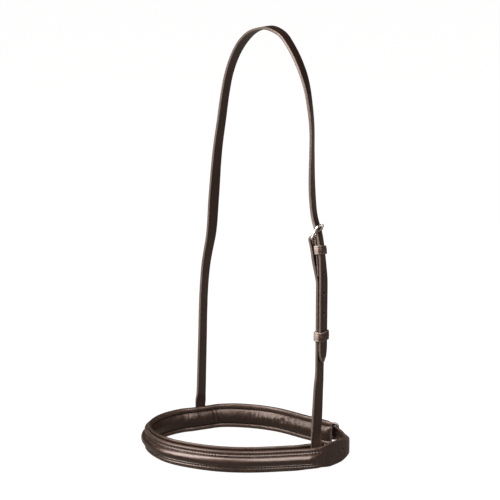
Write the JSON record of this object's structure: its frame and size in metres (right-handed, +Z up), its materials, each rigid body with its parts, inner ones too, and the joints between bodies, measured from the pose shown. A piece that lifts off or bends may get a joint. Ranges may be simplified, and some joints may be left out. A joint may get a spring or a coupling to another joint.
{
  "type": "cavesson noseband",
  "caption": "Padded leather cavesson noseband with a raised rolled front, a buckled jaw strap and a long head strap that buckles at the near cheek.",
  "frame": {"origin": "under the middle of the bounding box, on the plane of the noseband's lower edge", "axes": "+Z up along the head strap, -Y to the front of the nose, +X to the horse's left (near) side with the head buckle"},
  "size_m": [0.198, 0.1804, 0.4494],
  "materials": {
    "bridle_leather": "waxed havana brown, satin, pale burnished edges",
    "raised_leather": "waxed brown, glossy on the roll",
    "keeper_leather": "waxed brown, satin",
    "lining_leather": "soft, finely wrinkled, low sheen",
    "filler_cord": "matte cord",
    "padding": "soft padding",
    "stainless_steel": "polished",
    "thread": "waxed thread"
  },
  "bodies": {
    "noseband": {"noseband_strap": "bridle_leather", "headpiece_strap": "bridle_leather", "near_cheekpiece": "bridle_leather", "raised_cover": "raised_leather", "head_fixed_keeper": "keeper_leather", "jaw_front_keeper": "keeper_leather", "jaw_rear_keeper": "keeper_leather", "padded_lining": "lining_leather", "roll_filler_cord": "filler_cord", "lining_padding": "padding", "upper_seam_thread": "thread", "lower_seam_thread": "thread", "rear_upper_seam_thread": "thread", "rear_lower_seam_thread": "thread", "cheek_chape_thread_front": "thread", "cheek_chape_thread_rear": "thread"},
    "head_buckle": {"head_buckle_frame": "stainless_steel"},
    "head_tongue": {"head_buckle_tongue": "stainless_steel"},
    "head_runner": {"head_sliding_keeper": "keeper_leather"},
    "jaw_buckle": {"jaw_buckle_frame": "stainless_steel"},
    "jaw_tongue": {"jaw_buckle_tongue": "stainless_steel"}
  },
  "joints": [
    {"name": "head_buckle_swing", "type": "hinge", "parent": "noseband", "child": "head_buckle", "pos_m": [0.08169, 0.01992, 0.24241], "axis": [-0.3731, 0.9185, -0.1308], "range_deg": [-1.5, 1.5]},
    {"name": "head_tongue_swing", "type": "hinge", "parent": "head_buckle", "child": "head_tongue", "pos_m": [0.08169, 0.01992, 0.24241], "axis": [-0.3731, 0.9185, -0.1308], "range_deg": [0, 1]},
    {"name": "head_runner_slide", "type": "slide", "parent": "noseband", "child": "head_runner", "axis": [0, 0, 1], "range_m": [-0.018, 0.045]},
    {"name": "jaw_buckle_swing", "type": "hinge", "parent": "noseband", "child": "jaw_buckle", "pos_m": [0.04377, 0.08071, 0.0135], "axis": [0, 0, 1], "range_deg": [-1.5, 1.5]},
    {"name": "jaw_tongue_swing", "type": "hinge", "parent": "jaw_buckle", "child": "jaw_tongue", "pos_m": [0.04377, 0.08071, 0.0135], "axis": [0, 0, 1], "range_deg": [0, 1]}
  ]
}
